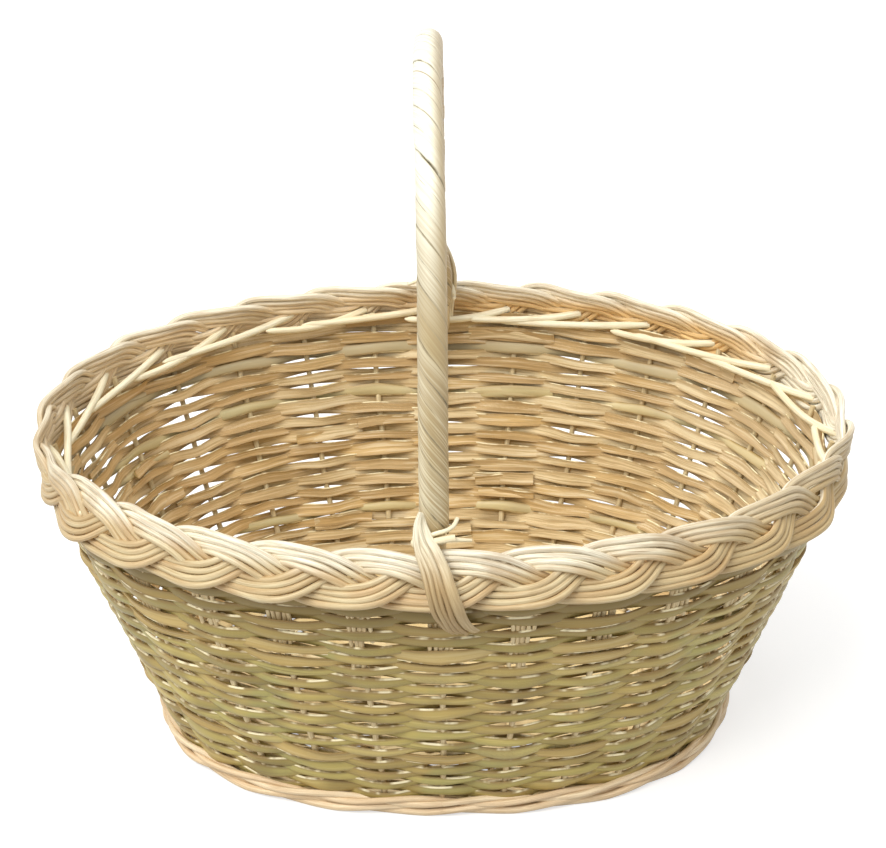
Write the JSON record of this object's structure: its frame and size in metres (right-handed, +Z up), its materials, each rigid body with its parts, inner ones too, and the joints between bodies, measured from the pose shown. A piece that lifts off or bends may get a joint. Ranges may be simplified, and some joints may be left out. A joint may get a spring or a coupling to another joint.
{
  "type": "oval woven basket with handle",
  "caption": "Oval basket of woven split cane on rod stakes, with a plaited border, a twined foot and a fixed wound hoop handle across its short side.",
  "frame": {"origin": "middle of the basket on the ground it stands on", "axes": "+Z up, +X along the length of the oval, the front of the picture towards -Y"},
  "size_m": [0.4235, 0.3378, 0.3617],
  "materials": {
    "stake_rod": "peeled rod, satin",
    "siding_peel": "split cane peel, satin olive skin",
    "base_peel": "split cane peel, satin",
    "foot_rod": "peeled rod, satin",
    "border_rod": "peeled rod, soft gloss",
    "tail_rod": "peeled rod, soft gloss",
    "handle_core": "peeled rod, satin",
    "handle_skein": "split skein, soft gloss"
  },
  "bodies": {
    "root": {"stake_01": "stake_rod", "stake_02": "stake_rod", "stake_03": "stake_rod", "stake_04": "stake_rod", "stake_05": "stake_rod", "stake_06": "stake_rod", "stake_07": "stake_rod", "stake_08": "stake_rod", "stake_09": "stake_rod", "stake_10": "stake_rod", "stake_11": "stake_rod", "stake_12": "stake_rod", "stake_13": "stake_rod", "stake_14": "stake_rod", "stake_15": "stake_rod", "stake_16": "stake_rod", "stake_17": "stake_rod", "stake_18": "stake_rod", "stake_19": "stake_rod", "stake_20": "stake_rod", "stake_21": "stake_rod", "stake_22": "stake_rod", "stake_23": "stake_rod", "stake_24": "stake_rod", "stake_25": "stake_rod", "stake_26": "stake_rod", "stake_27": "stake_rod", "stake_28": "stake_rod", "siding_weaver_a1": "siding_peel", "siding_weaver_a2": "siding_peel", "siding_weaver_a3": "siding_peel", "siding_weaver_b1": "siding_peel", "siding_weaver_b2": "siding_peel", "siding_weaver_b3": "siding_peel", "base_weaver_1": "base_peel", "base_weaver_2": "base_peel", "base_splint_long_1": "base_peel", "base_splint_long_2": "base_peel", "base_splint_long_3": "base_peel", "base_splint_cross_1": "base_peel", "base_splint_cross_2": "base_peel", "base_splint_cross_3": "base_peel", "base_splint_cross_4": "base_peel", "foot_rod_1": "foot_rod", "foot_rod_2": "foot_rod", "border_strand_1": "border_rod", "border_strand_2": "border_rod", "border_strand_3": "border_rod", "inner_rim_rod": "tail_rod", "handle_core": "handle_core", "handle_wrap_1": "handle_skein", "handle_wrap_2": "handle_skein", "handle_wrap_3": "handle_skein", "handle_wrap_4": "handle_skein", "handle_lash_front": "handle_skein", "handle_lash_back": "handle_skein", "border_bundle_front": "border_rod", "border_bundle_back": "border_rod"}
  },
  "joints": []
}
